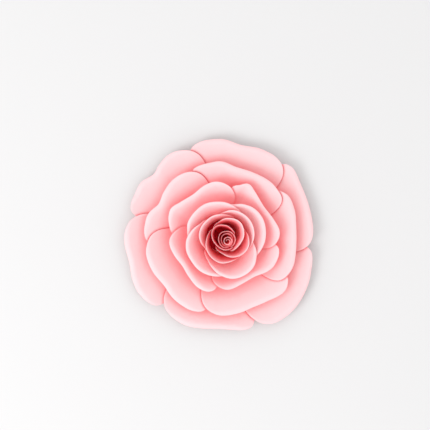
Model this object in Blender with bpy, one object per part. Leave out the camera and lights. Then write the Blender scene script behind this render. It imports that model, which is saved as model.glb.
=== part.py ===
"""Giant paper rose: card petals curled at their rims and glued in layers on a round card disc.

The flower lies on the back of its disc and opens upwards, +Z. Every petal is one cut and curled
sheet of card. A petal is laid on its wall, a surface that climbs from the disc and flares out
to the rim. Its free edge is then rolled back over a dowel.
Lengths below are in millimetres and bearings in degrees, counter-clockwise from +X.
"""

import math

import bpy
import numpy as np

MM = 0.001
CARD = 0.3  # thickness of the petals' card
PETAL_PINK = (0.95, 0.62, 0.65, 1.0)
BUD_PINK = (0.90, 0.38, 0.42, 1.0)
DISC_PINK = (0.93, 0.55, 0.58, 1.0)
PAPER_ROUGHNESS = 0.85

DISC_RADIUS = 62.0
DISC_THICKNESS = 1.0
DISC_SIDES = 48

# Each layer: rim_centre is where its rim circle lies over the disc, because the bud leans.
# root is the height where its petals are glued, crest is the height at the start of the roll.
# wall holds the two middle points of the wall's curve, as shares of the way out and of the way
# up. roll is the length and the radius of the rolled edge. corners is how round a petal's first
# and its last shoulder are, from 0, square, to 1, an ellipse. root_radius and gap are for the
# layers whose petals share a ring: gap is how far one end of a petal stands off the neighbour
# below it, at the root and at the rim.
LAYERS = {
    "outer": dict(
        rim_centre=(0, 0), root=2.4, crest=27, wall=((0.50, 0.00), (0.85, 0.75)),
        roll=(13, 13), corners=(0.34, 0.62), root_radius=34, gap=(1.3, 7.0),
    ),
    "second": dict(
        rim_centre=(2, -7), root=5.0, crest=46, wall=((0.45, 0.03), (0.78, 0.90)),
        roll=(12, 12), corners=(0.34, 0.64), root_radius=34, gap=(1.3, 7.0),
    ),
    "third": dict(
        rim_centre=(12, -6), root=7.6, crest=62, wall=((0.48, 0.00), (0.68, 0.92)),
        roll=(11, 10), corners=(0.36, 0.66), root_radius=34, gap=(1.6, 8.0),
    ),
    "fourth": dict(
        rim_centre=(14, -10), root=14.0, crest=77, wall=((0.20, 0.30), (0.55, 0.88)),
        roll=(8, 7), corners=(0.30, 0.30),
    ),
    "inner": dict(
        rim_centre=(16, -7), root=11.5, crest=84, wall=((0.10, 0.40), (0.45, 0.82)),
        roll=(4, 3.8), corners=(0.25, 0.25),
    ),
    "bud": dict(
        rim_centre=(17, -10), root=11, crest=88, wall=((0.00, 0.45), (0.40, 0.80)),
        roll=(2.2, 2.1), corners=(0.25, 0.25),
    ),
    "heart": dict(
        rim_centre=(17, -10), root=11, crest=88, wall=((0.05, 0.40), (0.60, 0.70)),
        roll=(1.5, 1.4), corners=(0.25, 0.25),
    ),
    "coil": dict(
        rim_centre=(18, -13), root=11, crest=88, wall=((0.05, 0.40), (0.60, 0.70)),
        roll=(1.8, 1.3), corners=(0.10, 0.10),
    ),
}

# Rims of the three wide layers, as rings of bearing and radius, read clockwise. The dents and
# bulges are where each sheet waves in and out between its two shoulders.
RINGS = {
    "outer": (
        (97, 200), (89, 200), (76, 192), (64, 199), (52, 204), (42, 208), (32, 201),
        (16, 197), (0, 198), (-11, 200), (-29, 214), (-45, 222), (-55, 222), (-73, 209),
        (-89, 198), (-101, 200), (-111, 203), (-123, 200), (-135, 206), (-143, 210),
        (-152, 205), (-161, 197), (-178, 199), (-186, 197), (-204, 196), (-212, 197),
        (-223, 185), (-230, 192), (-240, 198), (-248, 194),
    ),
    "second": (
        (101, 157), (91, 159), (79, 150), (62, 151), (47, 157), (39, 160), (32, 167),
        (22, 166), (11, 160), (-10, 159), (-19, 163), (-29, 167), (-38, 175), (-53, 164),
        (-64, 159), (-75, 160), (-90, 162), (-97, 161), (-115, 163), (-127, 159),
        (-138, 152), (-155, 156), (-169, 158), (-176, 157), (-187, 159), (-196, 158),
        (-208, 144), (-219, 149), (-231, 155), (-243, 156),
    ),
    "third": (
        (99, 117), (90, 115), (75, 113), (66, 122), (60, 115), (41, 101), (19, 106),
        (5, 115), (-6, 116), (-21, 119), (-27, 119), (-53, 99), (-71, 100), (-89, 110),
        (-98, 112), (-107, 118), (-115, 118), (-130, 109), (-147, 103), (-163, 110),
        (-178, 118), (-188, 116), (-201, 125), (-206, 127), (-216, 117), (-233, 108),
        (-250, 114),
    ),
}

# Petals that share a ring: layer, and the bearings of the two ends, clockwise. Each one's
# second end lies on its neighbour's first end, all the way round.
RING_PETALS = {
    "outer_petal_1": ("outer", 113, 36),
    "outer_petal_2": ("outer", 52, -17),
    "outer_petal_3": ("outer", -5, -75),
    "outer_petal_4": ("outer", -65, -137),
    "outer_petal_5": ("outer", -126, -200),
    "outer_petal_6": ("outer", -190, -262),
    "second_petal_1": ("second", 118, 21),
    "second_petal_2": ("second", 45, -44),
    "second_petal_3": ("second", -25, -112),
    "second_petal_4": ("second", -97, -192),
    "second_petal_5": ("second", -172, -261),
    "third_petal_1": ("third", 180, 71),
    "third_petal_2": ("third", 86, -19),
    "third_petal_3": ("third", -4, -110),
    "third_petal_4": ("third", -95, -197),
}

# Petals with a rim of their own, bearing and radius clockwise from end to end: layer, root
# radius, heights of the rim over the layer's crest at its first end, middle and last end, rim.
# They wind inwards: each end tucks in behind the rim of the next petal in. A root under 1 is a
# share of the rim's radius, for the steep petals of the bud.
WOUND_PETALS = {
    "fourth_petal_1": ("fourth", 43.7, (-9, 0, -3), (
        (188, 76), (178, 77), (168, 79), (158, 83), (139, 83), (120, 82), (105, 77), (88, 72),
        (71, 66), (57, 62))),
    "fourth_petal_2": ("fourth", 45.0, (-9, -1, -10), (
        (98, 72), (86, 71), (76, 72), (62, 79), (48, 84), (31, 85), (12, 81), (-6, 76),
        (-24, 71), (-42, 69))),
    "fourth_petal_3": ("fourth", 41.1, (-8, 2, 0), (
        (12, 51), (-2, 52), (-10, 56), (-29, 68), (-45, 77), (-62, 80), (-79, 79), (-97, 71),
        (-114, 62), (-138, 52), (-152, 50))),
    "fourth_petal_4": ("fourth", 42.4, (-9, 1, -3), (
        (285, 73), (272, 73), (260, 75), (247, 78), (230, 81), (212, 81), (195, 82),
        (182, 79), (167, 71), (145, 59), (132, 57))),
    "inner_petal_1": ("inner", 37.0, (-7, 0, -4), (
        (224, 46), (212, 47), (203, 48), (190, 52), (178, 55), (161, 56), (142, 54),
        (122, 52), (101, 48), (82, 46), (68, 45))),
    "inner_petal_2": ("inner", 38.6, (-9, 0, -2), (
        (122, 50), (110, 50), (97, 52), (78, 57), (62, 58), (41, 58), (19, 56), (0, 53),
        (-22, 49), (-42, 45))),
    "bud_petal_1": ("bud", 0.73, (-7, 1, -2), (
        (318, 42.5), (305, 42), (293, 42.5), (272, 45), (254, 48), (235, 48), (215, 47),
        (195, 45), (176, 42), (154, 40), (144, 40))),
    "bud_petal_2": ("bud", 0.71, (-8, 1, -1), (
        (44, 42.5), (30, 40.5), (15, 42), (0, 43), (-15, 44), (-37, 42), (-57, 39),
        (-83, 34), (-111, 29), (-150, 30))),
    "bud_petal_3": ("bud", 0.68, (-5, 2, 0), (
        (148, 38), (136, 39), (117, 40), (96, 43), (75, 44), (53, 43), (34, 38), (14, 33),
        (-9, 27), (-62, 24), (-80, 25))),
    "bud_petal_4": ("heart", 0.65, (-2, 2, 0), (
        (316, 18.9), (306, 18.8), (290, 19), (270, 19.8), (253, 20.9), (235, 21.6), (215, 23.2),
        (194, 26.1), (181, 29.2), (165, 32.6), (151, 35.5), (139, 36.3), (127, 35.5),
        (108, 31.5), (90, 27.8), (78, 25), (61, 21.8), (45, 20.3), (30, 19.8))),
    "rolled_centre": ("coil", 0.60, (-2, -3, -13, -13, -7, -6), (
        (1270, 2.8), (1170, 3), (1080, 3.6), (1036, 4.8), (987, 6), (949, 6.5), (901, 6.8),
        (854, 7), (818, 7.2), (773, 7), (728, 7.2), (676, 7.8), (650, 8.8), (618, 10.2),
        (582, 10.8), (552, 11), (530, 11.6), (508, 12.6), (490, 13.2), (470, 13.6), (450, 13.7),
        (433, 13.3), (406, 12), (375, 10.4), (342, 9.6), (310, 10.2), (280, 11.9), (256, 13.8),
        (234, 15.2), (212, 15.9), (188, 17), (170, 18.2), (146, 20), (130, 20.8), (114, 20.1),
        (93, 19.4), (76, 19.2), (57, 18), (36, 16.8), (12, 15.5), (-22, 14), (-50, 13.4),
        (-70, 13.3))),
}

COLUMNS = (-1, -0.95, -0.86, -0.7, -0.45, -0.2, 0.05, 0.3, 0.52, 0.7, 0.82, 0.9, 0.96, 1)
ROWS = (0, 0.25, 0.48, 0.68, 0.82, 0.9, 0.95, 1)
WRAPPED_COLUMNS = tuple(np.linspace(-1, 1, 21))
CENTRE_COLUMNS = tuple(np.linspace(-1, 1, 81))
ROOT_WIDTH = 0.85  # share of a petal's angle that it keeps at its root
WIDENS_UNTIL = 0.5  # share of the way out at which it has its full angle
ROLL_STARTS, ROLL_FULL = 0.35, 0.8  # the side edges roll from here on, and fully from here
SIDE_STEPS, RIM_STEPS = 30, 90  # points along each side and along the rim of the free edge
HIDDEN_ROLL = 0.15  # share of the roll left at the end that lies under the neighbour
FREE_ROLL = 0.40  # share of it at the end that lies on top
# Shares of a petal's turn between which its rim's height changes, and the same for the coil,
# whose middle turn stands lower than the two beside it.
TUCKS = (0, 0.3, 0.75, 1)
COIL_TUCKS = (0, 0.42, 0.52, 0.68, 0.80, 1)
LEAN_AT_ROOT = 0.6  # share of the rim's shift that the roots already have
NUDGE = 0.5  # step along the sheet for measuring which way the wall runs


def smooth_line(knots, values, where):
    """A curve through the knots, which rise, without corners (Catmull-Rom)."""
    knots, values = np.asarray(knots, float), np.asarray(values, float)
    slopes = np.gradient(values, knots)
    i = np.clip(np.searchsorted(knots, where, side="right") - 1, 0, len(knots) - 2)
    width = knots[i + 1] - knots[i]
    s = np.clip((where - knots[i]) / width, 0, 1)
    start = (1 + 2 * s) * (1 - s) ** 2 * values[i] + s * (1 - s) ** 2 * width * slopes[i]
    return start + s**2 * (3 - 2 * s) * values[i + 1] + s**2 * (s - 1) * width * slopes[i + 1]


def ring_reach(layer, bearing):
    """Radius of a layer's rim at a bearing."""
    ring = sorted((b % 360, r) for b, r in RINGS[layer])
    ring = [(b - 360, r) for b, r in ring[-3:]] + ring + [(b + 360, r) for b, r in ring[:3]]
    return smooth_line([b for b, _ in ring], [r for _, r in ring], np.mod(bearing, 360))


def own_reach(rim, bearing):
    """Radius of a wound petal's rim at a bearing, which isn't wrapped at 360."""
    rim = sorted(rim)
    return smooth_line([b for b, _ in rim], [r for _, r in rim], bearing)


def bezier(middle, samples=65):
    """The wall's curve from (0, 0) to (1, 1) through its two middle points' pull."""
    s = np.linspace(0, 1, samples)[:, None]
    a, b = np.array(middle[0]), np.array(middle[1])
    return 3 * s * (1 - s) ** 2 * a + 3 * s**2 * (1 - s) * b + s**3


class Petal:
    """One sheet: where it lies on its wall, and the point of the sheet at any place on it."""

    def __init__(self, layer, first, last, reach, root_radius, root_lifts, rim_lifts):
        spec = LAYERS[layer]
        self.first, self.last, self.reach = first, last, reach
        self.root_radius, self.root_height = root_radius, spec["root"]
        self.crest, self.root_lifts, self.rim_lifts = spec["crest"], root_lifts, rim_lifts
        self.tucks = COIL_TUCKS if len(rim_lifts) == len(COIL_TUCKS) else TUCKS
        self.centre = np.array(spec["rim_centre"], float)
        self.roll_length, self.roll_radius = spec["roll"]
        self.corners = spec["corners"]
        self.curve = bezier(spec["wall"])
        middle = (first + last) / 2
        size = np.array([reach(middle) - self.root_at(middle), self.crest - self.root_height])
        steps = np.linalg.norm(np.diff(self.curve * size, axis=0), axis=1)
        self.along = np.concatenate([[0], np.cumsum(steps)])
        self.length = self.along[-1]
        self.along /= self.length
        bearings = np.linspace(last, first, 25)
        self.mean_reach = float(np.mean(reach(bearings)))
        self.mean_root = float(np.mean(self.root_at(bearings)))
        self.outline = self.edge_line()

    def root_at(self, bearing):
        """Radius of the root at a bearing."""
        return self.root_radius * (self.reach(bearing) if self.root_radius < 1 else 1)

    def wall(self, t, bearing):
        """A point of the wall: t runs from 0 at the root to 1 where the sheet would end."""
        out = np.interp(t, self.along, self.curve[:, 0])
        up = np.interp(t, self.along, self.curve[:, 1])
        turned = (self.first - bearing) / (self.first - self.last)
        root = self.root_at(bearing)
        turned_down = min(self.roll_length / self.roll_radius, math.pi / 2)
        overhang = self.roll_length - self.roll_radius * math.sin(turned_down)
        radius = root + (self.reach(bearing) + overhang - root) * out
        height = self.root_height + (self.crest - self.root_height) * up
        at_root = np.interp(turned, self.tucks, self.root_lifts)
        at_rim = np.interp(turned, self.tucks, self.rim_lifts)
        lift = at_root + (at_rim - at_root) * t
        climbed = (height + lift - self.root_height) / (self.crest - self.root_height)
        lean = LEAN_AT_ROOT + (1 - LEAN_AT_ROOT) * climbed
        angle = np.radians(bearing)
        return np.stack([
            self.centre[0] * lean + radius * np.cos(angle),
            self.centre[1] * lean + radius * np.sin(angle),
            height + lift,
        ], axis=-1)

    def flat(self, across, outward):
        """Place on the flat sheet, in millimetres, of a place on the petal's square grid."""
        corner = np.where(across < 0, self.corners[0], self.corners[1])
        power = 4 / corner - 2  # for an outline that turns the corner smoothly
        x = across * np.sqrt(1 - corner * outward**power / 2)
        y = outward * np.sqrt(1 - corner * np.abs(across) ** power / 2)
        width = ROOT_WIDTH + (1 - ROOT_WIDTH) * np.clip(y / WIDENS_UNTIL, 0, 1)
        angle = math.radians(self.first - self.last) / 2 * x * width
        return np.stack([y * self.length, angle * self.sweep(y)], axis=-1)

    def sweep(self, t):
        """Mean radius at t, which turns an angle into a length across the sheet."""
        out = np.interp(t, self.along, self.curve[:, 0])
        return self.mean_root + (self.mean_reach - self.mean_root) * out

    def on_wall(self, place):
        """The wall's point at a place on the flat sheet."""
        t = place[..., 0] / self.length
        turn = np.degrees(place[..., 1] / self.sweep(t))
        return self.wall(t, (self.first + self.last) / 2 - turn)

    def edge_line(self):
        """The free edge on the flat sheet, with the length rolled at each of its points."""
        side = np.linspace(ROLL_STARTS, 1, SIDE_STEPS)
        end, rim = np.ones(SIDE_STEPS), np.linspace(-1, 1, RIM_STEPS)
        across = np.concatenate([-end, rim, end])
        outward = np.concatenate([side, np.ones(RIM_STEPS), side[::-1]])
        share = np.interp(across, (-1, -0.6, 0.45, 0.85, 1),
                          (HIDDEN_ROLL, 1, 1, FREE_ROLL, FREE_ROLL))
        share *= np.interp(outward, (ROLL_STARTS, ROLL_FULL), (0, 1))
        return self.flat(across, outward), share * self.roll_length

    def nearest_edge(self, place):
        """Distance to the free edge, the edge's point, and the rolled length there."""
        line, rolled = self.outline
        start, step = line[:-1], np.diff(line, axis=0)
        away = place[:, None] - start[None]
        s = np.clip((away * step).sum(-1) / ((step**2).sum(-1) + 1e-12), 0, 1)
        foot = start + s[..., None] * step
        distance = np.linalg.norm(place[:, None] - foot, axis=-1)
        best = distance.argmin(axis=1)
        row = np.arange(len(place))
        length = rolled[:-1] + s * np.diff(rolled)
        return distance[row, best], foot[row, best], length[row, best]

    def outward_at(self, foot):
        """Unit direction across the free edge, away from the sheet, at the edge's points."""
        line = self.outline[0]
        tangent = np.gradient(line, axis=0)
        normal = np.stack([tangent[:, 1], -tangent[:, 0]], axis=-1)
        normal *= np.sign((normal * (line - line.mean(axis=0))).sum(-1, keepdims=True))
        nearest = np.linalg.norm(foot[:, None] - line[None], axis=-1).argmin(axis=1)
        normal = normal[nearest]
        return normal / np.linalg.norm(normal, axis=-1, keepdims=True)

    def sheet(self, across, outward):
        """Points of the finished sheet: on its wall, and rolled back along its free edge."""
        place = self.flat(across, outward)
        points = self.on_wall(place)
        distance, foot, length = self.nearest_edge(place)
        rolled = distance < length
        if rolled.any():
            away = self.outward_at(foot[rolled])
            base = foot[rolled] - away * length[rolled, None]
            start = self.on_wall(base)
            sideways = np.stack([-away[:, 1], away[:, 0]], axis=-1)
            ahead = self.on_wall(base + away * NUDGE) - start
            along = self.on_wall(base + sideways * NUDGE) - start
            ahead /= np.linalg.norm(ahead, axis=1, keepdims=True)
            face = np.cross(along, ahead)
            face /= np.linalg.norm(face, axis=1, keepdims=True)
            turn = ((length[rolled] - distance[rolled]) / self.roll_radius)[:, None]
            points[rolled] = start + self.roll_radius * (
                np.sin(turn) * ahead - (1 - np.cos(turn)) * face)
        return points


def ring_petal(layer, first, last):
    """A petal whose last end stands over its neighbour and whose first end lies under one."""
    spec = LAYERS[layer]
    lifts = [np.interp(TUCKS, (0, 1), (-gap / 2, gap / 2)) for gap in spec["gap"]]
    return Petal(layer, first, last, lambda b: ring_reach(layer, b), spec["root_radius"], *lifts)


def wound_petal(layer, root_radius, rises, rim):
    """A petal with its own rim, lower at the ends that tuck in behind the next petal in."""
    if len(rises) < len(TUCKS):
        first, middle, last = rises
        rises = (first, middle, middle, last)
    return Petal(layer, rim[0][0], rim[-1][0], lambda b: own_reach(rim, b), root_radius,
                 (0,) * len(rises), rises)


def paper(name, colour):
    material = bpy.data.materials.new(name)
    material.use_nodes = True
    shader = material.node_tree.nodes["Principled BSDF"]
    shader.inputs["Base Color"].default_value = colour
    shader.inputs["Roughness"].default_value = PAPER_ROUGHNESS
    shader.inputs["Metallic"].default_value = 0.0
    return material


def sheet_object(name, petal, columns, rows, material):
    """A petal as a mesh sheet of card, thickened evenly on both sides."""
    across, outward = np.meshgrid(columns, rows)
    points = petal.sheet(across.ravel().astype(float), outward.ravel().astype(float)) * MM
    wide, high = len(columns), len(rows)
    faces = [
        (r * wide + c, r * wide + c + 1, (r + 1) * wide + c + 1, (r + 1) * wide + c)
        for r in range(high - 1) for c in range(wide - 1)
    ]
    mesh = bpy.data.meshes.new(name)
    mesh.from_pydata(points.tolist(), [], faces)
    mesh.materials.append(material)
    mesh.shade_smooth()
    obj = bpy.data.objects.new(name, mesh)
    bpy.context.collection.objects.link(obj)
    card = obj.modifiers.new("card", "SOLIDIFY")
    card.thickness = CARD * MM
    card.offset = 0
    card.use_even_offset = True
    return obj


def base_disc(material):
    bpy.ops.mesh.primitive_cylinder_add(
        vertices=DISC_SIDES, radius=DISC_RADIUS * MM, depth=DISC_THICKNESS * MM,
        location=(0, 0, DISC_THICKNESS * MM / 2))
    disc = bpy.context.object
    disc.name = "base_disc"
    disc.data.name = "base_disc"
    disc.data.materials.append(material)
    return disc


def build():
    for obj in list(bpy.data.objects):
        bpy.data.objects.remove(obj, do_unlink=True)
    base_disc(paper("disc_card", DISC_PINK))
    for name, (layer, first, last) in RING_PETALS.items():
        sheet_object(name, ring_petal(layer, first, last), COLUMNS, ROWS,
                     paper(name + "_card", PETAL_PINK))
    for name, (layer, root_radius, rises, rim) in WOUND_PETALS.items():
        centre = name == "rolled_centre"
        petal = wound_petal(layer, root_radius, rises, rim)
        in_bud = layer in ("bud", "heart", "coil")
        columns = CENTRE_COLUMNS if centre else WRAPPED_COLUMNS if in_bud else COLUMNS
        colour = BUD_PINK if in_bud else PETAL_PINK
        sheet_object(name, petal, columns, ROWS, paper(name + "_card", colour))


build()
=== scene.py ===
"""Looks of the giant paper rose: every petal as a finely curled sheet of coloured card.

The petals are laid and rolled by the same rules and sizes as the model's, only with many more
folds to the sheet. A geometry tree then gives each sheet its thickness, a slight unevenness and
its cut edge. Lengths in the tables are in millimetres and bearings in degrees, counter-clockwise
from +X; the finished meshes are in metres.
"""

import math

import bpy
import numpy as np
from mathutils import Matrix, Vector
from mathutils.bvhtree import BVHTree


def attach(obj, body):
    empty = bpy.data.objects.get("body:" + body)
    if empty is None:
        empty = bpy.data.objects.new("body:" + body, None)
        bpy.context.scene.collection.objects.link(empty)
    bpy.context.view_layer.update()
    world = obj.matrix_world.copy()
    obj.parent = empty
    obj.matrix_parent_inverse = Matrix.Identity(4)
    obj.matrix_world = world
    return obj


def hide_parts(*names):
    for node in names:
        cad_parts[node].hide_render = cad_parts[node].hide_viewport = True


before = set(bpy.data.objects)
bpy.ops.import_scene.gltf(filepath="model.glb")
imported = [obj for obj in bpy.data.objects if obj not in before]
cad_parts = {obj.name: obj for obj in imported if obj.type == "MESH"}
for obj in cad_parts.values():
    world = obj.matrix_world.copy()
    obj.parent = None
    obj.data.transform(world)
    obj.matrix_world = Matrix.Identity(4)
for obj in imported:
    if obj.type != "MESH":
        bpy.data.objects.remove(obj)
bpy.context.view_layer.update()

MM = 0.001

# card
CARD = 0.3  # thickness of the petals' card
DISC_RADIUS, DISC_THICKNESS = 62.0, 1.0
DISC_SIDES, DISC_EDGE = 128, 0.15  # sides of its round, and how round its cut edge's corners are
UNEVENNESS = 0.5  # how far the card wavers off its curl
UNEVEN_OVER = 45.0  # and over what length

# Painted shade: the card's one pink, linear, painted deeper from places open to the room to places
# shut in between the petals, where the light has been from sheet to sheet and only the red is
# left.
PAINTED_SHADE_PINKS = ((0.0, (0.94, 0.64, 0.66)), (0.05, (0.94, 0.59, 0.61)), (0.13, (0.95, 0.57, 0.59)),
         (0.22, (0.96, 0.48, 0.50)), (0.34, (0.96, 0.35, 0.37)), (0.55, (0.92, 0.18, 0.21)),
         (0.78, (0.68, 0.02, 0.05)))
# Painted shade per layer: how shut in each layer counts as at its open rim and at its deepest, and
# how fast it gets there: 1 is even, and less deepens sooner below the rim.
SHADES = {
    "outer": (0.05, 1.0, 1.0), "second": (0.05, 1.0, 1.0), "third": (0.04, 0.66, 1.0),
    "fourth": (0.04, 0.24, 1.0), "inner": (0.04, 0.30, 1.0), "bud": (0.03, 0.74, 0.75),
    "heart": (0.03, 0.94, 0.6), "coil": (0.0, 0.60, 1.0),
}
DISC_PAINTED_SHADE = 1.0  # painted shade: the whole disc is painted in the deepest colour of the ramp, as shut in as can be
CUT_CORE = (0.95, 0.80, 0.80, 1.0)  # the paler inside of the card, seen at its cut edge
MATT = 0.15  # specular level of the card
CLOUDS, FIBRES = 60.0, 1400.0  # how fine the mottling and the fibres are, per metre
FIBRE_DEPTH = 0.0002  # how deep the fibres look, in metres
BACKDROP = (0.685, 0.680, 0.682, 1.0)

# studio, in metres and watts
BACKDROP_HALF, BACKDROP_UNDER = 40.0, 0.0003  # half its side, and how far it lies under the disc
ROOM_LIGHT = 1.12
WINDOW_PLACE, WINDOW_SIZE, WINDOW_WATTS = (-2.2, -1.5, 2.4), 1.8, 46
LIGHT_BOUNCES = 16  # the card's colour deepens as the light bounces between the petals
CAMERA_HEIGHT, FRAME_WIDTH = 1.8, 0.916  # over the backdrop, and the width it takes in there
CAMERA_OVER = (-0.0085, 0.0405)
SENSOR = 36.0  # millimetres

# sheets
# Columns and rows of the finished sheets, and of the coarser ones that the shading is worked out
# on, by kind of petal. Layers that BUD_KINDS doesn't name are wide.
FINE = dict(wide=(97, 49), bud=(129, 49), centre=(385, 33))
COARSE = dict(wide=(57, 29), bud=(57, 25), centre=(161, 15))
BUD_KINDS = {"bud": "bud", "heart": "bud", "coil": "centre"}
CORNER_CROWD = 0.45  # how strongly the columns crowd towards the shoulders
RIM_CROWD = 0.5  # how strongly the rows crowd towards the rim
LOOKS = 48  # directions in which each place looks for open room
OFF_SHEET, ROOM = 0.8, 150.0  # a look starts this far off the sheet and ends this far away
REACH = 45.0  # and what it meets counts the less, the farther off
SHARP = 50  # degrees: folds in the mesh over this stay crisp, as at the cut edge

# Each layer: rim_centre is where its rim circle lies over the disc, because the bud leans.
# root is the height where its petals are glued, crest is the height at the start of the roll.
# wall holds the two middle points of the wall's curve, as shares of the way out and of the way
# up. roll is the length and the radius of the rolled edge. corners is how round a petal's first
# and its last shoulder are, from 0, square, to 1, an ellipse. root_radius and gap are for the
# layers whose petals share a ring: gap is how far one end of a petal stands off the neighbour
# below it, at the root and at the rim.
LAYERS = {
    "outer": dict(
        rim_centre=(0, 0), root=2.4, crest=27, wall=((0.50, 0.00), (0.85, 0.75)),
        roll=(13, 13), corners=(0.34, 0.62), root_radius=34, gap=(1.3, 7.0),
    ),
    "second": dict(
        rim_centre=(2, -7), root=5.0, crest=46, wall=((0.45, 0.03), (0.78, 0.90)),
        roll=(12, 12), corners=(0.34, 0.64), root_radius=34, gap=(1.3, 7.0),
    ),
    "third": dict(
        rim_centre=(12, -6), root=7.6, crest=62, wall=((0.48, 0.00), (0.68, 0.92)),
        roll=(11, 10), corners=(0.36, 0.66), root_radius=34, gap=(1.6, 8.0),
    ),
    "fourth": dict(
        rim_centre=(14, -10), root=14.0, crest=77, wall=((0.20, 0.30), (0.55, 0.88)),
        roll=(8, 7), corners=(0.30, 0.30),
    ),
    "inner": dict(
        rim_centre=(16, -7), root=11.5, crest=84, wall=((0.10, 0.40), (0.45, 0.82)),
        roll=(4, 3.8), corners=(0.25, 0.25),
    ),
    "bud": dict(
        rim_centre=(17, -10), root=11, crest=88, wall=((0.00, 0.45), (0.40, 0.80)),
        roll=(2.2, 2.1), corners=(0.25, 0.25),
    ),
    "heart": dict(
        rim_centre=(17, -10), root=11, crest=88, wall=((0.05, 0.40), (0.60, 0.70)),
        roll=(1.5, 1.4), corners=(0.25, 0.25),
    ),
    "coil": dict(
        rim_centre=(18, -13), root=11, crest=88, wall=((0.05, 0.40), (0.60, 0.70)),
        roll=(1.8, 1.3), corners=(0.10, 0.10),
    ),
}

# Rims of the three wide layers, as rings of bearing and radius, read clockwise. The dents and
# bulges are where each sheet waves in and out between its two shoulders.
RINGS = {
    "outer": (
        (97, 200), (89, 200), (76, 192), (64, 199), (52, 204), (42, 208), (32, 201),
        (16, 197), (0, 198), (-11, 200), (-29, 214), (-45, 222), (-55, 222), (-73, 209),
        (-89, 198), (-101, 200), (-111, 203), (-123, 200), (-135, 206), (-143, 210),
        (-152, 205), (-161, 197), (-178, 199), (-186, 197), (-204, 196), (-212, 197),
        (-223, 185), (-230, 192), (-240, 198), (-248, 194),
    ),
    "second": (
        (101, 157), (91, 159), (79, 150), (62, 151), (47, 157), (39, 160), (32, 167),
        (22, 166), (11, 160), (-10, 159), (-19, 163), (-29, 167), (-38, 175), (-53, 164),
        (-64, 159), (-75, 160), (-90, 162), (-97, 161), (-115, 163), (-127, 159),
        (-138, 152), (-155, 156), (-169, 158), (-176, 157), (-187, 159), (-196, 158),
        (-208, 144), (-219, 149), (-231, 155), (-243, 156),
    ),
    "third": (
        (99, 117), (90, 115), (75, 113), (66, 122), (60, 115), (41, 101), (19, 106),
        (5, 115), (-6, 116), (-21, 119), (-27, 119), (-53, 99), (-71, 100), (-89, 110),
        (-98, 112), (-107, 118), (-115, 118), (-130, 109), (-147, 103), (-163, 110),
        (-178, 118), (-188, 116), (-201, 125), (-206, 127), (-216, 117), (-233, 108),
        (-250, 114),
    ),
}

# Petals that share a ring: layer, and the bearings of the two ends, clockwise. Each one's
# second end lies on its neighbour's first end, all the way round.
RING_PETALS = {
    "outer_petal_1": ("outer", 113, 36),
    "outer_petal_2": ("outer", 52, -17),
    "outer_petal_3": ("outer", -5, -75),
    "outer_petal_4": ("outer", -65, -137),
    "outer_petal_5": ("outer", -126, -200),
    "outer_petal_6": ("outer", -190, -262),
    "second_petal_1": ("second", 118, 21),
    "second_petal_2": ("second", 45, -44),
    "second_petal_3": ("second", -25, -112),
    "second_petal_4": ("second", -97, -192),
    "second_petal_5": ("second", -172, -261),
    "third_petal_1": ("third", 180, 71),
    "third_petal_2": ("third", 86, -19),
    "third_petal_3": ("third", -4, -110),
    "third_petal_4": ("third", -95, -197),
}

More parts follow.
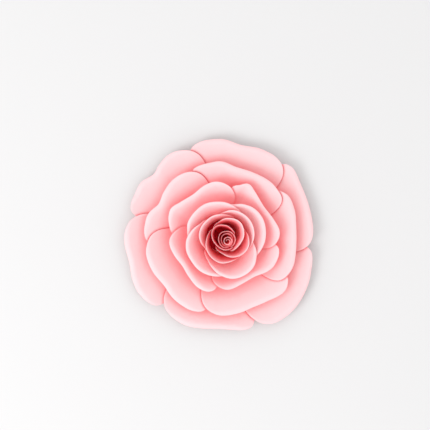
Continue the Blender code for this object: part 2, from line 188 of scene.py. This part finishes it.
# Petals with a rim of their own, bearing and radius clockwise from end to end: layer, root
# radius, heights of the rim over the layer's crest at its first end, middle and last end, rim.
# They wind inwards: each end tucks in behind the rim of the next petal in. A root under 1 is a
# share of the rim's radius, for the steep petals of the bud.
WOUND_PETALS = {
    "fourth_petal_1": ("fourth", 43.7, (-9, 0, -3), (
        (188, 76), (178, 77), (168, 79), (158, 83), (139, 83), (120, 82), (105, 77), (88, 72),
        (71, 66), (57, 62))),
    "fourth_petal_2": ("fourth", 45.0, (-9, -1, -10), (
        (98, 72), (86, 71), (76, 72), (62, 79), (48, 84), (31, 85), (12, 81), (-6, 76),
        (-24, 71), (-42, 69))),
    "fourth_petal_3": ("fourth", 41.1, (-8, 2, 0), (
        (12, 51), (-2, 52), (-10, 56), (-29, 68), (-45, 77), (-62, 80), (-79, 79), (-97, 71),
        (-114, 62), (-138, 52), (-152, 50))),
    "fourth_petal_4": ("fourth", 42.4, (-9, 1, -3), (
        (285, 73), (272, 73), (260, 75), (247, 78), (230, 81), (212, 81), (195, 82),
        (182, 79), (167, 71), (145, 59), (132, 57))),
    "inner_petal_1": ("inner", 37.0, (-7, 0, -4), (
        (224, 46), (212, 47), (203, 48), (190, 52), (178, 55), (161, 56), (142, 54),
        (122, 52), (101, 48), (82, 46), (68, 45))),
    "inner_petal_2": ("inner", 38.6, (-9, 0, -2), (
        (122, 50), (110, 50), (97, 52), (78, 57), (62, 58), (41, 58), (19, 56), (0, 53),
        (-22, 49), (-42, 45))),
    "bud_petal_1": ("bud", 0.73, (-7, 1, -2), (
        (318, 42.5), (305, 42), (293, 42.5), (272, 45), (254, 48), (235, 48), (215, 47),
        (195, 45), (176, 42), (154, 40), (144, 40))),
    "bud_petal_2": ("bud", 0.71, (-8, 1, -1), (
        (44, 42.5), (30, 40.5), (15, 42), (0, 43), (-15, 44), (-37, 42), (-57, 39),
        (-83, 34), (-111, 29), (-150, 30))),
    "bud_petal_3": ("bud", 0.68, (-5, 2, 0), (
        (148, 38), (136, 39), (117, 40), (96, 43), (75, 44), (53, 43), (34, 38), (14, 33),
        (-9, 27), (-62, 24), (-80, 25))),
    "bud_petal_4": ("heart", 0.65, (-2, 2, 0), (
        (316, 18.9), (306, 18.8), (290, 19), (270, 19.8), (253, 20.9), (235, 21.6), (215, 23.2),
        (194, 26.1), (181, 29.2), (165, 32.6), (151, 35.5), (139, 36.3), (127, 35.5),
        (108, 31.5), (90, 27.8), (78, 25), (61, 21.8), (45, 20.3), (30, 19.8))),
    "rolled_centre": ("coil", 0.60, (-2, -3, -13, -13, -7, -6), (
        (1270, 2.8), (1170, 3), (1080, 3.6), (1036, 4.8), (987, 6), (949, 6.5), (901, 6.8),
        (854, 7), (818, 7.2), (773, 7), (728, 7.2), (676, 7.8), (650, 8.8), (618, 10.2),
        (582, 10.8), (552, 11), (530, 11.6), (508, 12.6), (490, 13.2), (470, 13.6), (450, 13.7),
        (433, 13.3), (406, 12), (375, 10.4), (342, 9.6), (310, 10.2), (280, 11.9), (256, 13.8),
        (234, 15.2), (212, 15.9), (188, 17), (170, 18.2), (146, 20), (130, 20.8), (114, 20.1),
        (93, 19.4), (76, 19.2), (57, 18), (36, 16.8), (12, 15.5), (-22, 14), (-50, 13.4),
        (-70, 13.3))),
}

ROOT_WIDTH = 0.85  # share of a petal's angle that it keeps at its root
WIDENS_UNTIL = 0.5  # share of the way out at which it has its full angle
ROLL_STARTS, ROLL_FULL = 0.35, 0.8  # the side edges roll from here on, and fully from here
SIDE_STEPS, RIM_STEPS = 30, 90  # points along each side and along the rim of the free edge
HIDDEN_ROLL = 0.15  # share of the roll left at the end that lies under the neighbour
FREE_ROLL = 0.40  # share of it at the end that lies on top
# Shares of a petal's turn between which its rim's height changes, and the same for the coil,
# whose middle turn stands lower than the two beside it.
TUCKS = (0, 0.3, 0.75, 1)
COIL_TUCKS = (0, 0.42, 0.52, 0.68, 0.80, 1)
LEAN_AT_ROOT = 0.6  # share of the rim's shift that the roots already have
NUDGE = 0.5  # step along the sheet for measuring which way the wall runs


def smooth_line(knots, values, where):
    """A curve through the knots, which rise, without corners (Catmull-Rom)."""
    knots, values = np.asarray(knots, float), np.asarray(values, float)
    slopes = np.gradient(values, knots)
    i = np.clip(np.searchsorted(knots, where, side="right") - 1, 0, len(knots) - 2)
    width = knots[i + 1] - knots[i]
    s = np.clip((where - knots[i]) / width, 0, 1)
    start = (1 + 2 * s) * (1 - s) ** 2 * values[i] + s * (1 - s) ** 2 * width * slopes[i]
    return start + s**2 * (3 - 2 * s) * values[i + 1] + s**2 * (s - 1) * width * slopes[i + 1]


def ring_reach(layer, bearing):
    """Radius of a layer's rim at a bearing."""
    ring = sorted((b % 360, r) for b, r in RINGS[layer])
    ring = [(b - 360, r) for b, r in ring[-3:]] + ring + [(b + 360, r) for b, r in ring[:3]]
    return smooth_line([b for b, _ in ring], [r for _, r in ring], np.mod(bearing, 360))


def own_reach(rim, bearing):
    """Radius of a wound petal's rim at a bearing, which isn't wrapped at 360."""
    rim = sorted(rim)
    return smooth_line([b for b, _ in rim], [r for _, r in rim], bearing)


def bezier(middle, samples=65):
    """The wall's curve from (0, 0) to (1, 1) through its two middle points' pull."""
    s = np.linspace(0, 1, samples)[:, None]
    a, b = np.array(middle[0]), np.array(middle[1])
    return 3 * s * (1 - s) ** 2 * a + 3 * s**2 * (1 - s) * b + s**3


class Petal:
    """One sheet: where it lies on its wall, and the point of the sheet at any place on it."""

    def __init__(self, layer, first, last, reach, root_radius, root_lifts, rim_lifts):
        spec = LAYERS[layer]
        self.first, self.last, self.reach = first, last, reach
        self.root_radius, self.root_height = root_radius, spec["root"]
        self.crest, self.root_lifts, self.rim_lifts = spec["crest"], root_lifts, rim_lifts
        self.tucks = COIL_TUCKS if len(rim_lifts) == len(COIL_TUCKS) else TUCKS
        self.centre = np.array(spec["rim_centre"], float)
        self.roll_length, self.roll_radius = spec["roll"]
        self.corners = spec["corners"]
        self.curve = bezier(spec["wall"])
        middle = (first + last) / 2
        size = np.array([reach(middle) - self.root_at(middle), self.crest - self.root_height])
        steps = np.linalg.norm(np.diff(self.curve * size, axis=0), axis=1)
        self.along = np.concatenate([[0], np.cumsum(steps)])
        self.length = self.along[-1]
        self.along /= self.length
        bearings = np.linspace(last, first, 25)
        self.mean_reach = float(np.mean(reach(bearings)))
        self.mean_root = float(np.mean(self.root_at(bearings)))
        self.outline = self.edge_line()

    def root_at(self, bearing):
        """Radius of the root at a bearing."""
        return self.root_radius * (self.reach(bearing) if self.root_radius < 1 else 1)

    def wall(self, t, bearing):
        """A point of the wall: t runs from 0 at the root to 1 where the sheet would end."""
        out = np.interp(t, self.along, self.curve[:, 0])
        up = np.interp(t, self.along, self.curve[:, 1])
        turned = (self.first - bearing) / (self.first - self.last)
        root = self.root_at(bearing)
        turned_down = min(self.roll_length / self.roll_radius, math.pi / 2)
        overhang = self.roll_length - self.roll_radius * math.sin(turned_down)
        radius = root + (self.reach(bearing) + overhang - root) * out
        height = self.root_height + (self.crest - self.root_height) * up
        at_root = np.interp(turned, self.tucks, self.root_lifts)
        at_rim = np.interp(turned, self.tucks, self.rim_lifts)
        lift = at_root + (at_rim - at_root) * t
        climbed = (height + lift - self.root_height) / (self.crest - self.root_height)
        lean = LEAN_AT_ROOT + (1 - LEAN_AT_ROOT) * climbed
        angle = np.radians(bearing)
        return np.stack([
            self.centre[0] * lean + radius * np.cos(angle),
            self.centre[1] * lean + radius * np.sin(angle),
            height + lift,
        ], axis=-1)

    def flat(self, across, outward):
        """Place on the flat sheet, in millimetres, of a place on the petal's square grid."""
        corner = np.where(across < 0, self.corners[0], self.corners[1])
        power = 4 / corner - 2  # for an outline that turns the corner smoothly
        x = across * np.sqrt(1 - corner * outward**power / 2)
        y = outward * np.sqrt(1 - corner * np.abs(across) ** power / 2)
        width = ROOT_WIDTH + (1 - ROOT_WIDTH) * np.clip(y / WIDENS_UNTIL, 0, 1)
        angle = math.radians(self.first - self.last) / 2 * x * width
        return np.stack([y * self.length, angle * self.sweep(y)], axis=-1)

    def sweep(self, t):
        """Mean radius at t, which turns an angle into a length across the sheet."""
        out = np.interp(t, self.along, self.curve[:, 0])
        return self.mean_root + (self.mean_reach - self.mean_root) * out

    def on_wall(self, place):
        """The wall's point at a place on the flat sheet."""
        t = place[..., 0] / self.length
        turn = np.degrees(place[..., 1] / self.sweep(t))
        return self.wall(t, (self.first + self.last) / 2 - turn)

    def edge_line(self):
        """The free edge on the flat sheet, with the length rolled at each of its points."""
        side = np.linspace(ROLL_STARTS, 1, SIDE_STEPS)
        end, rim = np.ones(SIDE_STEPS), np.linspace(-1, 1, RIM_STEPS)
        across = np.concatenate([-end, rim, end])
        outward = np.concatenate([side, np.ones(RIM_STEPS), side[::-1]])
        share = np.interp(across, (-1, -0.6, 0.45, 0.85, 1),
                          (HIDDEN_ROLL, 1, 1, FREE_ROLL, FREE_ROLL))
        share *= np.interp(outward, (ROLL_STARTS, ROLL_FULL), (0, 1))
        return self.flat(across, outward), share * self.roll_length

    def nearest_edge(self, place):
        """Distance to the free edge, the edge's point, and the rolled length there."""
        line, rolled = self.outline
        start, step = line[:-1], np.diff(line, axis=0)
        away = place[:, None] - start[None]
        s = np.clip((away * step).sum(-1) / ((step**2).sum(-1) + 1e-12), 0, 1)
        foot = start + s[..., None] * step
        distance = np.linalg.norm(place[:, None] - foot, axis=-1)
        best = distance.argmin(axis=1)
        row = np.arange(len(place))
        length = rolled[:-1] + s * np.diff(rolled)
        return distance[row, best], foot[row, best], length[row, best]

    def outward_at(self, foot):
        """Unit direction across the free edge, away from the sheet, at the edge's points."""
        line = self.outline[0]
        tangent = np.gradient(line, axis=0)
        normal = np.stack([tangent[:, 1], -tangent[:, 0]], axis=-1)
        normal *= np.sign((normal * (line - line.mean(axis=0))).sum(-1, keepdims=True))
        nearest = np.linalg.norm(foot[:, None] - line[None], axis=-1).argmin(axis=1)
        normal = normal[nearest]
        return normal / np.linalg.norm(normal, axis=-1, keepdims=True)

    def sheet(self, across, outward):
        """Points of the finished sheet: on its wall, and rolled back along its free edge."""
        place = self.flat(across, outward)
        points = self.on_wall(place)
        distance, foot, length = self.nearest_edge(place)
        rolled = distance < length
        if rolled.any():
            away = self.outward_at(foot[rolled])
            base = foot[rolled] - away * length[rolled, None]
            start = self.on_wall(base)
            sideways = np.stack([-away[:, 1], away[:, 0]], axis=-1)
            ahead = self.on_wall(base + away * NUDGE) - start
            along = self.on_wall(base + sideways * NUDGE) - start
            ahead /= np.linalg.norm(ahead, axis=1, keepdims=True)
            face = np.cross(along, ahead)
            face /= np.linalg.norm(face, axis=1, keepdims=True)
            turn = ((length[rolled] - distance[rolled]) / self.roll_radius)[:, None]
            points[rolled] = start + self.roll_radius * (
                np.sin(turn) * ahead - (1 - np.cos(turn)) * face)
        return points


def ring_petal(layer, first, last):
    """A petal whose last end stands over its neighbour and whose first end lies under one."""
    spec = LAYERS[layer]
    lifts = [np.interp(TUCKS, (0, 1), (-gap / 2, gap / 2)) for gap in spec["gap"]]
    return Petal(layer, first, last, lambda b: ring_reach(layer, b), spec["root_radius"], *lifts)


def wound_petal(layer, root_radius, rises, rim):
    """A petal with its own rim, lower at the ends that tuck in behind the next petal in."""
    if len(rises) < len(TUCKS):
        first, middle, last = rises
        rises = (first, middle, middle, last)
    return Petal(layer, rim[0][0], rim[-1][0], lambda b: own_reach(rim, b), root_radius,
                 (0,) * len(rises), rises)


def crowded(count, crowd):
    """Places from -1 to 1 that lie closer together towards both ends."""
    even = np.linspace(-1, 1, count)
    return (1 - crowd) * even + crowd * np.sin(even * math.pi / 2)


def grid(columns, rows):
    """Across and outward places of a sheet's columns and rows."""
    return crowded(columns, CORNER_CROWD), crowded(2 * rows - 1, RIM_CROWD)[rows - 1:]


def on_grid(petal, across, outward):
    """The sheet's points, one row of the grid after another."""
    a, o = np.meshgrid(across, outward)
    return petal.sheet(a.ravel(), o.ravel()).reshape(len(outward), len(across), 3)


def quads(rows, columns):
    """Faces of a grid whose points are stored row by row."""
    return [
        (r * columns + c, r * columns + c + 1, (r + 1) * columns + c + 1, (r + 1) * columns + c)
        for r in range(rows - 1) for c in range(columns - 1)
    ]


def upper_normals(points):
    """Unit normals of a gridded sheet, on the side that faces up and in."""
    normals = np.cross(np.gradient(points, axis=1), np.gradient(points, axis=0))
    normals /= np.linalg.norm(normals, axis=-1, keepdims=True) + 1e-12
    return normals * np.sign(normals[..., 2].mean())


def looks():
    """Directions over a half sphere about +Z, closer together towards +Z."""
    i = np.arange(LOOKS)
    share, turn = (i + 0.5) / LOOKS, i * math.pi * (3 - math.sqrt(5))
    return np.stack([np.sqrt(share) * np.cos(turn), np.sqrt(share) * np.sin(turn),
                     np.sqrt(1 - share)], axis=-1)


def shut_in(sheets):
    """How shut in each gridded sheet is above and below, from 0 in the open to 1 deep inside; it
    sets the painted shade.
    """
    corners, faces = [], []
    for points in sheets:
        faces += [tuple(len(corners) + i for i in face) for face in quads(*points.shape[:2])]
        corners += points.reshape(-1, 3).tolist()
    flower = BVHTree.FromPolygons(corners, faces)
    around = looks()

    def seen(place, up):
        """How much of what lies on the side of up is near and shuts the place in."""
        side = np.cross(up, (0.0, 1.0, 0.0) if abs(up[1]) < 0.9 else (1.0, 0.0, 0.0))
        side /= np.linalg.norm(side)
        rays = around @ np.array([side, np.cross(up, side), up])
        start = Vector(place + up * OFF_SHEET)
        hits = [flower.ray_cast(start, Vector(ray), ROOM)[3] for ray in rays]
        return sum(math.exp(-hit / REACH) for hit in hits if hit is not None) / LOOKS

    depths = []
    for points in sheets:
        places, normals = points.reshape(-1, 3), upper_normals(points).reshape(-1, 3)
        depths.append([
            np.array([seen(*pair) for pair in zip(places, way * normals)])
            .reshape(points.shape[:2]) for way in (1, -1)
        ])
    return depths


def curled_sheet(name, petal, kind, depths):
    """The middle surface of a petal as a mesh, with the painted shade of each point, from how shut
    in it is.
    """
    across, outward = grid(*FINE[kind])
    points = on_grid(petal, across, outward)
    mesh = bpy.data.meshes.new(name)
    mesh.from_pydata((points.reshape(-1, 3) * MM).tolist(), [], quads(*points.shape[:2]))
    coarse_across, coarse_outward = grid(*COARSE[kind])
    # painted shade of the upper face and of the underside, spread from the coarse grid to the fine
    # one
    for side, depth in zip(("depth", "depth_below"), depths):
        rows = np.array([np.interp(across, coarse_across, row) for row in depth])
        fine = np.array([np.interp(outward, coarse_outward, column) for column in rows.T]).T
        mesh.attributes.new(side, "FLOAT", "POINT").data.foreach_set("value", fine.ravel())
    return mesh


def node(tree, kind, settings=(), **inputs):
    """A node with its properties and the inputs that aren't linked set."""
    made = tree.nodes.new(kind)
    for key, value in dict(settings).items():
        setattr(made, key, value)
    for key, value in inputs.items():
        made.inputs[key.replace("_", " ")].default_value = value
    return made


def card_tree():
    """Geometry tree: gives a sheet its card thickness, a slight unevenness and a cut edge."""
    tree = bpy.data.node_groups.new("card", "GeometryNodeTree")
    face = tree.interface
    for name, kind, default in (
        ("Sheet", "NodeSocketGeometry", None), ("Thickness", "NodeSocketFloat", CARD * MM),
        ("Unevenness", "NodeSocketFloat", UNEVENNESS * MM),
        ("Uneven Over", "NodeSocketFloat", UNEVEN_OVER * MM), ("Seed", "NodeSocketFloat", 0.0),
        ("Card", "NodeSocketMaterial", None),
    ):
        socket = face.new_socket(name, in_out="INPUT", socket_type=kind)
        if default is not None:
            socket.default_value = default
    face.new_socket("Petal", in_out="OUTPUT", socket_type="NodeSocketGeometry")
    link = tree.links.new
    given, out = tree.nodes.new("NodeGroupInput"), tree.nodes.new("NodeGroupOutput")

    # waver: noise between -0.5 and 0.5 along the normal, and half the thickness downwards
    place, normal = node(tree, "GeometryNodeInputPosition"), node(tree, "GeometryNodeInputNormal")
    per_metre = node(tree, "ShaderNodeMath", {"operation": "DIVIDE"})
    per_metre.inputs[0].default_value = 1.0
    link(given.outputs["Uneven Over"], per_metre.inputs[1])
    noise = node(tree, "ShaderNodeTexNoise", {"noise_dimensions": "4D"}, Detail=1.0)
    link(place.outputs[0], noise.inputs["Vector"])
    link(given.outputs["Seed"], noise.inputs["W"])
    link(per_metre.outputs[0], noise.inputs["Scale"])
    centred = node(tree, "ShaderNodeMath", {"operation": "SUBTRACT"})
    centred.inputs[1].default_value = 0.5
    link(noise.outputs["Fac"], centred.inputs[0])
    waver = node(tree, "ShaderNodeMath", {"operation": "MULTIPLY"})
    link(centred.outputs[0], waver.inputs[0])
    link(given.outputs["Unevenness"], waver.inputs[1])
    half = node(tree, "ShaderNodeMath", {"operation": "MULTIPLY_ADD"})
    half.inputs[1].default_value = -0.5
    link(given.outputs["Thickness"], half.inputs[0])
    link(waver.outputs[0], half.inputs[2])
    shift = node(tree, "ShaderNodeVectorMath", {"operation": "SCALE"})
    link(normal.outputs[0], shift.inputs[0])
    link(half.outputs[0], shift.inputs["Scale"])
    under = node(tree, "GeometryNodeSetPosition")
    link(given.outputs["Sheet"], under.inputs["Geometry"])
    link(shift.outputs[0], under.inputs["Offset"])

    # thicken: the raised copy with its sides, closed by the turned-over original
    raised = node(tree, "GeometryNodeExtrudeMesh", {"mode": "FACES"}, Individual=False)
    link(under.outputs[0], raised.inputs["Mesh"])
    link(given.outputs["Thickness"], raised.inputs["Offset Scale"])
    marked = node(tree, "GeometryNodeStoreNamedAttribute",
                  {"data_type": "FLOAT", "domain": "FACE"}, Name="cut_edge")
    link(raised.outputs["Mesh"], marked.inputs["Geometry"])
    link(raised.outputs["Side"], marked.inputs["Value"])
    # painted shade of the underside, carried over to the turned-over back faces
    below = node(tree, "GeometryNodeInputNamedAttribute", {"data_type": "FLOAT"},
                 Name="depth_below")
    shaded = node(tree, "GeometryNodeStoreNamedAttribute",
                  {"data_type": "FLOAT", "domain": "POINT"}, Name="depth")
    link(under.outputs[0], shaded.inputs["Geometry"])
    link(below.outputs["Attribute"], shaded.inputs["Value"])
    back = node(tree, "GeometryNodeFlipFaces")
    link(shaded.outputs[0], back.inputs["Mesh"])
    joined = node(tree, "GeometryNodeJoinGeometry")
    link(marked.outputs[0], joined.inputs[0])
    link(back.outputs[0], joined.inputs[0])
    closed = node(tree, "GeometryNodeMergeByDistance", Distance=1e-6)
    link(joined.outputs[0], closed.inputs["Geometry"])

    # smooth over the curl, sharp where the card is cut
    smooth = node(tree, "GeometryNodeSetShadeSmooth", {"domain": "FACE"})
    link(closed.outputs[0], smooth.inputs["Geometry"])
    angle = node(tree, "GeometryNodeInputMeshEdgeAngle")
    sharp = node(tree, "FunctionNodeCompare", {"operation": "GREATER_THAN"}, B=math.radians(SHARP))
    link(angle.outputs["Unsigned Angle"], sharp.inputs["A"])
    crisp = node(tree, "GeometryNodeSetShadeSmooth", {"domain": "EDGE"}, Shade_Smooth=False)
    link(smooth.outputs[0], crisp.inputs["Geometry"])
    link(sharp.outputs[0], crisp.inputs["Selection"])

    clean = node(tree, "GeometryNodeRemoveAttribute", Name="depth_below")
    link(crisp.outputs[0], clean.inputs["Geometry"])
    real = node(tree, "GeometryNodeRealizeInstances")
    link(clean.outputs[0], real.inputs[0])
    coloured = node(tree, "GeometryNodeSetMaterial")
    link(real.outputs[0], coloured.inputs["Geometry"])
    link(given.outputs["Card"], coloured.inputs["Material"])
    link(coloured.outputs[0], out.inputs[0])
    return tree


def as_card(tree, name, sheet, seed, material):
    """The sheet put through the card tree, as a plain mesh object."""
    raw = bpy.data.objects.new(name + "_sheet", sheet)
    bpy.context.collection.objects.link(raw)
    card = raw.modifiers.new("card", "NODES")
    card.node_group = tree
    sockets = {item.name: item.identifier for item in tree.interface.items_tree}
    card[sockets["Seed"]] = float(seed)
    card[sockets["Card"]] = material
    raw.update_tag()
    evaluated = raw.evaluated_get(bpy.context.evaluated_depsgraph_get())
    mesh = bpy.data.meshes.new_from_object(evaluated)
    mesh.name = name
    bpy.data.objects.remove(raw, do_unlink=True)
    petal = bpy.data.objects.new(name, mesh)
    bpy.context.collection.objects.link(petal)
    return petal


def card_material(name):
    """Coloured card with fibres and mottling, and painted shade: deeper in colour inside the
    flower.
    """
    material = bpy.data.materials.new(name)
    material.use_nodes = True
    tree = material.node_tree
    link = tree.links.new
    shader = tree.nodes["Principled BSDF"]
    shader.inputs["Specular IOR Level"].default_value = MATT
    place = node(tree, "ShaderNodeTexCoord")

    # painted shade: the ramp turns the depth attribute into deeper pinks and reds where the card
    # is shut in between the petals
    depth = node(tree, "ShaderNodeAttribute", {"attribute_name": "depth"})
    colour = node(tree, "ShaderNodeValToRGB")
    stops = colour.color_ramp.elements
    stops[0].position, stops[0].color = PAINTED_SHADE_PINKS[0][0], (*PAINTED_SHADE_PINKS[0][1], 1)
    stops[1].position, stops[1].color = PAINTED_SHADE_PINKS[-1][0], (*PAINTED_SHADE_PINKS[-1][1], 1)
    for where, pink in PAINTED_SHADE_PINKS[1:-1]:
        stops.new(where).color = (*pink, 1)
    link(depth.outputs["Fac"], colour.inputs["Fac"])

    clouds = node(tree, "ShaderNodeTexNoise", Scale=CLOUDS, Detail=3.0)
    fibres = node(tree, "ShaderNodeTexNoise", Scale=FIBRES, Detail=4.0, Roughness=0.7,
                  Distortion=1.5)
    for texture in (clouds, fibres):
        link(place.outputs["Object"], texture.inputs["Vector"])
    speckle = node(tree, "ShaderNodeMix", {"data_type": "FLOAT"}, Factor=0.6)
    link(clouds.outputs["Fac"], speckle.inputs["A"])
    link(fibres.outputs["Fac"], speckle.inputs["B"])
    shade = node(tree, "ShaderNodeMapRange", From_Min=0.3, From_Max=0.7, To_Min=0.965,
                 To_Max=1.02)
    link(speckle.outputs["Result"], shade.inputs["Value"])
    mottled = node(tree, "ShaderNodeVectorMath", {"operation": "SCALE"})
    link(colour.outputs["Color"], mottled.inputs[0])
    link(shade.outputs[0], mottled.inputs["Scale"])

    edge = node(tree, "ShaderNodeAttribute", {"attribute_name": "cut_edge"})
    cut = node(tree, "ShaderNodeMix", {"data_type": "RGBA"})
    cut.inputs["B"].default_value = CUT_CORE
    link(edge.outputs["Fac"], cut.inputs["Factor"])
    link(mottled.outputs[0], cut.inputs["A"])
    link(cut.outputs["Result"], shader.inputs["Base Color"])

    rough = node(tree, "ShaderNodeMapRange", From_Min=0.3, From_Max=0.7, To_Min=0.74,
                 To_Max=0.90)
    link(fibres.outputs["Fac"], rough.inputs["Value"])
    link(rough.outputs[0], shader.inputs["Roughness"])
    bump = node(tree, "ShaderNodeBump", Strength=0.25, Distance=FIBRE_DEPTH)
    link(fibres.outputs["Fac"], bump.inputs["Height"])
    link(bump.outputs[0], shader.inputs["Normal"])
    return material


def petals():
    """Every petal and the rolled centre, each in the place of its node."""
    tree = card_tree()
    cards = {slot: card_material(slot) for slot in ("petal_card", "bud_card")}
    made = [(name, spec[0], ring_petal(*spec)) for name, spec in RING_PETALS.items()]
    made += [(name, spec[0], wound_petal(*spec)) for name, spec in WOUND_PETALS.items()]
    kinds = [BUD_KINDS.get(layer, "wide") for _, layer, _ in made]
    depths = shut_in([on_grid(petal, *grid(*COARSE[kind]))
                      for (_, _, petal), kind in zip(made, kinds)])
    for seed, ((name, layer, petal), kind, sides) in enumerate(zip(made, kinds, depths)):
        least, most, pace = SHADES[layer]
        # painted shade: each layer's share of the deep colour, from how shut in its places are
        shades = [least + (most - least) * depth**pace for depth in sides]
        sheet = curled_sheet(name, petal, kind, shades)
        slot = "bud_card" if layer in BUD_KINDS else "petal_card"
        piece = as_card(tree, name + "_curled", sheet, seed, cards[slot])
        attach(piece, "root")
        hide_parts(name)


def disc():
    """The round card disc that the petals are glued to."""
    turn = np.linspace(0, 2 * math.pi, DISC_SIDES, endpoint=False)
    inset = DISC_RADIUS - DISC_EDGE
    rings = [(inset, 0), (DISC_RADIUS, DISC_EDGE), (DISC_RADIUS, DISC_THICKNESS - DISC_EDGE),
             (inset, DISC_THICKNESS)]
    points = [(r * math.cos(a), r * math.sin(a), z) for r, z in rings for a in turn]
    top = (len(rings) - 1) * DISC_SIDES
    faces = [tuple(range(DISC_SIDES))[::-1], tuple(range(top, top + DISC_SIDES))]
    for ring in range(len(rings) - 1):
        for i in range(DISC_SIDES):
            a, b = ring * DISC_SIDES + i, ring * DISC_SIDES + (i + 1) % DISC_SIDES
            faces.append((a, b, b + DISC_SIDES, a + DISC_SIDES))
    mesh = bpy.data.meshes.new("base_disc_cut")
    mesh.from_pydata((np.array(points) * MM).tolist(), [], faces)
    mesh.materials.append(card_material("disc_card"))
    # painted shade: every point of the disc gets the deepest shade
    depth = mesh.attributes.new("depth", "FLOAT", "POINT")
    depth.data.foreach_set("value", [DISC_PAINTED_SHADE] * len(points))
    piece = bpy.data.objects.new("base_disc_cut", mesh)
    bpy.context.collection.objects.link(piece)
    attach(piece, "root")
    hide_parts("base_disc")


def backdrop():
    """A plain pale surface under the flower."""
    half, under = BACKDROP_HALF, -BACKDROP_UNDER
    mesh = bpy.data.meshes.new("backdrop")
    mesh.from_pydata([(-half, -half, under), (half, -half, under), (half, half, under),
                      (-half, half, under)], [], [(0, 1, 2, 3)])
    pale = bpy.data.materials.new("backdrop")
    pale.use_nodes = True
    shader = pale.node_tree.nodes["Principled BSDF"]
    shader.inputs["Base Color"].default_value = BACKDROP
    shader.inputs["Roughness"].default_value = 0.9
    shader.inputs["Specular IOR Level"].default_value = 0.1
    mesh.materials.append(pale)
    floor = bpy.data.objects.new("backdrop", mesh)
    bpy.context.collection.objects.link(floor)


def lights():
    """An even white room with one wide window, up on the left."""
    world = bpy.data.worlds.new("studio")
    world.use_nodes = True
    room = world.node_tree.nodes["Background"]
    room.inputs["Color"].default_value = (1, 1, 1, 1)
    room.inputs["Strength"].default_value = ROOM_LIGHT
    bpy.context.scene.world = world
    lamp = bpy.data.lights.new("window", "AREA")
    lamp.shape, lamp.size, lamp.energy = "DISK", WINDOW_SIZE, WINDOW_WATTS
    window = bpy.data.objects.new("window", lamp)
    window.location = WINDOW_PLACE
    window.rotation_mode = "QUATERNION"
    window.rotation_quaternion = Vector(WINDOW_PLACE).to_track_quat("Z", "Y")
    bpy.context.collection.objects.link(window)


def camera():
    """A camera straight over the flower, looking down."""
    lens = bpy.data.cameras.new("camera")
    lens.sensor_width = SENSOR
    lens.lens = SENSOR * CAMERA_HEIGHT / FRAME_WIDTH
    lens.clip_start, lens.clip_end = 0.05, 20
    holder = bpy.data.objects.new("camera", lens)
    holder.location = (*CAMERA_OVER, CAMERA_HEIGHT)
    bpy.context.collection.objects.link(holder)
    scene = bpy.context.scene
    scene.camera = holder
    scene.view_settings.view_transform = "Standard"
    scene.cycles.max_bounces = scene.cycles.diffuse_bounces = LIGHT_BOUNCES


petals()
disc()
backdrop()
lights()
camera()
